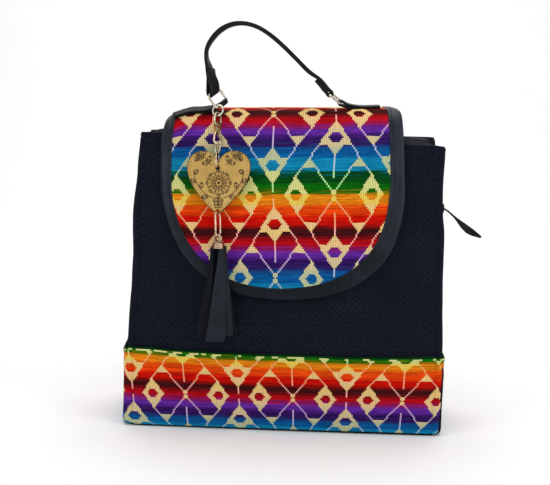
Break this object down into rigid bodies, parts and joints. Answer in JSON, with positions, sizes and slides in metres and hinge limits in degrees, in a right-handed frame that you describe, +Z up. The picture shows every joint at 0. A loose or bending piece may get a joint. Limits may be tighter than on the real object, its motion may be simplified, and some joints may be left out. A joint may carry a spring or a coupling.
{
  "type": "woven bag",
  "caption": "Boxy cloth bag with a traditional rainbow-woven flap and base band, zipped top, short leather handle on metal rings, and a wooden heart charm with a leather tassel.",
  "frame": {"origin": "centre of the flat base that the bag stands on", "axes": "+Z up, -Y towards the front with the flap, +X to the right seen from the front"},
  "size_m": [0.3374, 0.149, 0.3747],
  "materials": {
    "navy_cloth": "coarse matt weave, very dark navy",
    "woven_band": "horizontal rainbow stripes with cream brocade diamonds",
    "woven_flap": "horizontal rainbow stripes with cream brocade diamonds",
    "leather": "smooth black-navy leather, soft sheen",
    "tassel_leather": "thin black leather strips",
    "zip_tape": "black zip tape and coil",
    "ring_metal": "pale polished wire",
    "gold_metal": "polished gold tone",
    "heart_wood": "thin plywood, engraved, browned edge"
  },
  "bodies": {
    "root": {"front_panel": "navy_cloth", "back_panel": "navy_cloth", "side_panel_left": "navy_cloth", "side_panel_right": "navy_cloth", "base_band_front": "woven_band", "base_band_back": "woven_band", "base_band_left": "woven_band", "base_band_right": "woven_band", "base_panel": "navy_cloth", "top_panel_front": "navy_cloth", "top_panel_back": "navy_cloth", "zip": "zip_tape", "zip_slider": "ring_metal", "zip_pull": "leather", "flap_panel": "woven_flap", "flap_binding": "leather", "d_ring_left": "ring_metal", "d_ring_right": "ring_metal", "ring_tab_left": "leather", "ring_tab_right": "leather", "handle": "leather", "split_ring": "ring_metal", "chain_link_1": "gold_metal", "chain_link_2": "gold_metal", "chain_link_3": "gold_metal", "chain_link_4": "gold_metal", "heart_ring": "gold_metal", "heart_charm": "heart_wood", "charm_link_lower": "gold_metal", "tassel_cap": "gold_metal", "tassel": "tassel_leather"}
  },
  "joints": []
}
